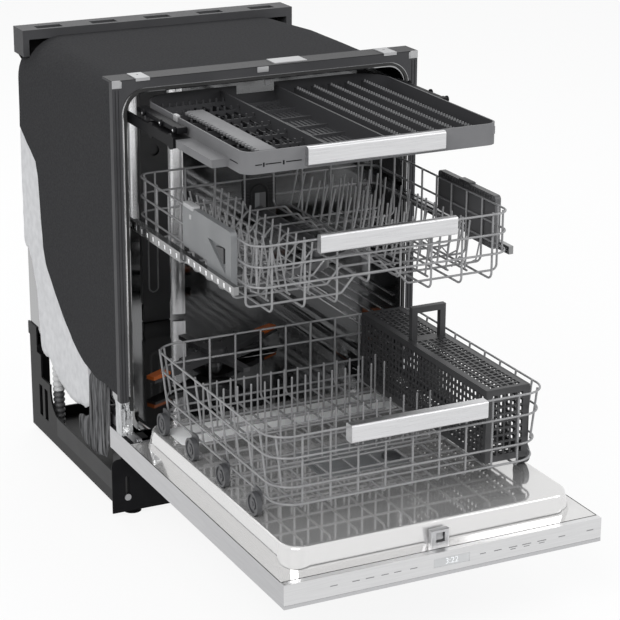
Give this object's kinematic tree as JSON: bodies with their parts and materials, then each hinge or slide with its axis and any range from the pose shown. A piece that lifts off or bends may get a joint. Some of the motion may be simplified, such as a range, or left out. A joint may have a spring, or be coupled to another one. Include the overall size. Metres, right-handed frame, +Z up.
{
  "type": "built-in dishwasher",
  "caption": "Built-in dishwasher with its drop-down door open level, wire racks and a cutlery tray drawn out on rails, spray arms and a felt-lined steel tub.",
  "frame": {"origin": "on the floor, at the middle of the overall footprint with the door open and racks out", "axes": "+X to the machine's right seen from its front, +Y to its back, +Z up"},
  "size_m": [0.598, 1.2386, 0.8445],
  "materials": {
    "stainless": "satin",
    "bright_steel": "polished",
    "brushed_panel": "brushed",
    "frame_grey": "satin",
    "black_plastic": "matt",
    "charcoal_felt": "matt",
    "white_fibre": "matt",
    "grey_fibre": "matt",
    "gasket_rubber": "matt",
    "black_metal": "satin",
    "zinc_steel": "satin",
    "pump_metal": "satin",
    "grey_plastic": "satin",
    "dark_plastic": "satin",
    "light_plastic": "satin",
    "orange_plastic": "satin",
    "display_glass": "gloss",
    "wire_grey": "satin",
    "handle_metal": "brushed",
    "tray_grey": "satin",
    "basket_black": "satin"
  },
  "bodies": {
    "cabinet": {"tub_shell": "stainless", "front_frame": "frame_grey", "tub_gasket": "gasket_rubber", "insulation_blanket": "charcoal_felt", "side_batting": "white_fibre", "fibre_pads": "grey_fibre", "base_frame": "black_plastic", "rear_crossbar": "frame_grey", "toe_kick": "black_metal", "toe_kick_screws": "zinc_steel", "levelling_feet": "black_plastic", "mounting_brackets": "zinc_steel", "latch_strike": "zinc_steel", "sump": "grey_plastic", "fine_filter": "stainless", "wash_pump": "pump_metal", "drain_pump": "black_plastic", "inlet_valve": "light_plastic", "junction_box": "black_metal", "vent_hose": "dark_plastic", "hinge_brackets": "zinc_steel", "rear_manifold": "dark_plastic", "fixed_rails": "bright_steel"},
    "filter": {"twist_filter": "dark_plastic"},
    "lower_arm": {"lower_spray_arm": "dark_plastic", "spray_arm_tips": "orange_plastic"},
    "door": {"door_outer_panel": "brushed_panel", "door_liner": "bright_steel", "control_strip": "brushed_panel", "display_window": "display_glass", "door_latch": "grey_plastic", "dispenser_body": "grey_plastic", "hinge_arms": "zinc_steel", "hinge_pins": "zinc_steel"},
    "pawl": {"latch_pawl": "zinc_steel"},
    "detergent_lid": {"dispenser_lid": "light_plastic"},
    "rinse_aid_cap": {"rinse_cap": "dark_plastic"},
    "lower_rack": {"lower_rack_wire": "wire_grey", "lower_rack_handle": "handle_metal", "wheel_carriers": "dark_plastic"},
    "wheels_1": {"lower_wheels_1": "dark_plastic"},
    "wheels_2": {"lower_wheels_2": "dark_plastic"},
    "wheels_3": {"lower_wheels_3": "dark_plastic"},
    "wheels_4": {"lower_wheels_4": "dark_plastic"},
    "tines_rear": {"lower_tines_rear": "wire_grey"},
    "tines_front": {"lower_tines_front": "wire_grey"},
    "basket": {"cutlery_basket": "basket_black"},
    "lid_front": {"basket_lid_front": "basket_black"},
    "lid_rear": {"basket_lid_rear": "basket_black"},
    "upper_rack": {"upper_rack_wire": "wire_grey", "upper_rack_handle": "handle_metal", "height_adjusters": "grey_plastic", "upper_feed_tube": "dark_plastic", "upper_rails_inner": "bright_steel"},
    "levers": {"adjuster_levers": "dark_plastic"},
    "upper_arm": {"upper_spray_arm": "dark_plastic"},
    "upper_slides": {"upper_rails_mid": "bright_steel"},
    "third_rack": {"third_tray": "tray_grey", "third_rack_handle": "handle_metal"},
    "third_slides": {"third_rails_mid": "bright_steel"}
  },
  "joints": [
    {"name": "door_hinge", "type": "hinge", "parent": "cabinet", "child": "door", "pos_m": [0, 0.0392, 0.176], "axis": [-1, 0, 0], "range_deg": [0, 8]},
    {"name": "latch_pawl_tip", "type": "hinge", "parent": "door", "child": "pawl", "pos_m": [0, -0.5877, 0.1915], "axis": [1, 0, 0], "range_deg": [0, 20], "stiffness_Nm_per_rad": 0.01, "springref_deg": -11.46},
    {"name": "dispenser_lid_slide", "type": "slide", "parent": "door", "child": "detergent_lid", "axis": [1, 0, 0], "range_m": [0, 0.046]},
    {"name": "rinse_cap_turn", "type": "hinge", "parent": "door", "child": "rinse_aid_cap", "pos_m": [0.061, -0.3108, 0.22], "axis": [0, 0, 1], "range_deg": [0, 90]},
    {"name": "lower_rack_slide", "type": "slide", "parent": "door", "child": "lower_rack", "axis": [0, -1, 0], "range_m": [-0.605, 0]},
    {"name": "lower_wheels_1_roll", "type": "hinge", "parent": "lower_rack", "child": "wheels_1", "pos_m": [0, -0.4273, 0.2373], "axis": [1, 0, 0], "range_deg": [-1800, 60]},
    {"name": "lower_wheels_2_roll", "type": "hinge", "parent": "lower_rack", "child": "wheels_2", "pos_m": [0, -0.2993, 0.2373], "axis": [1, 0, 0], "range_deg": [-1800, 60]},
    {"name": "lower_wheels_3_roll", "type": "hinge", "parent": "lower_rack", "child": "wheels_3", "pos_m": [0, -0.1713, 0.2373], "axis": [1, 0, 0], "range_deg": [-1800, 60]},
    {"name": "lower_wheels_4_roll", "type": "hinge", "parent": "lower_rack", "child": "wheels_4", "pos_m": [0, -0.0433, 0.2373], "axis": [1, 0, 0], "range_deg": [-1800, 60]},
    {"name": "rear_tines_fold", "type": "hinge", "parent": "lower_rack", "child": "tines_rear", "pos_m": [0, -0.1293, 0.2507], "axis": [1, 0, 0], "range_deg": [-75, 0]},
    {"name": "front_tines_fold", "type": "hinge", "parent": "lower_rack", "child": "tines_front", "pos_m": [0, -0.3313, 0.2507], "axis": [1, 0, 0], "range_deg": [-75, 0]},
    {"name": "basket_lift", "type": "slide", "parent": "lower_rack", "child": "basket", "axis": [0, 0, -1], "range_m": [-0.05, 0]},
    {"name": "front_lid_swing", "type": "hinge", "parent": "basket", "child": "lid_front", "pos_m": [0.2281, -0.3413, 0.3818], "axis": [0, 1, 0], "range_deg": [0, 90]},
    {"name": "rear_lid_swing", "type": "hinge", "parent": "basket", "child": "lid_rear", "pos_m": [0.2281, -0.1113, 0.3818], "axis": [0, 1, 0], "range_deg": [0, 90]},
    {"name": "upper_rack_slide", "type": "slide", "parent": "cabinet", "child": "upper_rack", "axis": [0, -1, 0], "range_m": [-0.49, 0]},
    {"name": "upper_slides_follow", "type": "slide", "parent": "cabinet", "child": "upper_slides", "axis": [0, -1, 0], "range_m": [-0.245, 0]},
    {"name": "height_levers_squeeze", "type": "hinge", "parent": "upper_rack", "child": "levers", "pos_m": [0, -0.3043, 0.632], "axis": [-1, 0, 0], "range_deg": [0, 12], "stiffness_Nm_per_rad": 0.02, "springref_deg": -11.46},
    {"name": "upper_arm_spin", "type": "hinge", "parent": "upper_rack", "child": "upper_arm", "pos_m": [0, -0.1413, 0.53], "axis": [0, 0, 1], "continuous": true},
    {"name": "third_rack_slide", "type": "slide", "parent": "cabinet", "child": "third_rack", "axis": [0, -1, 0], "range_m": [-0.448, 0]},
    {"name": "third_slides_follow", "type": "slide", "parent": "cabinet", "child": "third_slides", "axis": [0, -1, 0], "range_m": [-0.224, 0]},
    {"name": "lower_arm_spin", "type": "hinge", "parent": "cabinet", "child": "lower_arm", "pos_m": [0, 0.3107, 0.216], "axis": [0, 0, 1], "continuous": true},
    {"name": "twist_filter_turn", "type": "hinge", "parent": "cabinet", "child": "filter", "pos_m": [0.105, 0.4067, 0.196], "axis": [0, 0, 1], "range_deg": [0, 90]}
  ],
  "couplings": [
    {"joint": "lower_wheels_1_roll", "follows": "lower_rack_slide", "rad_per_m": 50},
    {"joint": "lower_wheels_2_roll", "follows": "lower_rack_slide", "rad_per_m": 50},
    {"joint": "lower_wheels_3_roll", "follows": "lower_rack_slide", "rad_per_m": 50},
    {"joint": "lower_wheels_4_roll", "follows": "lower_rack_slide", "rad_per_m": 50},
    {"joint": "upper_slides_follow", "follows": "upper_rack_slide", "ratio": 0.5},
    {"joint": "third_slides_follow", "follows": "third_rack_slide", "ratio": 0.5}
  ]
}
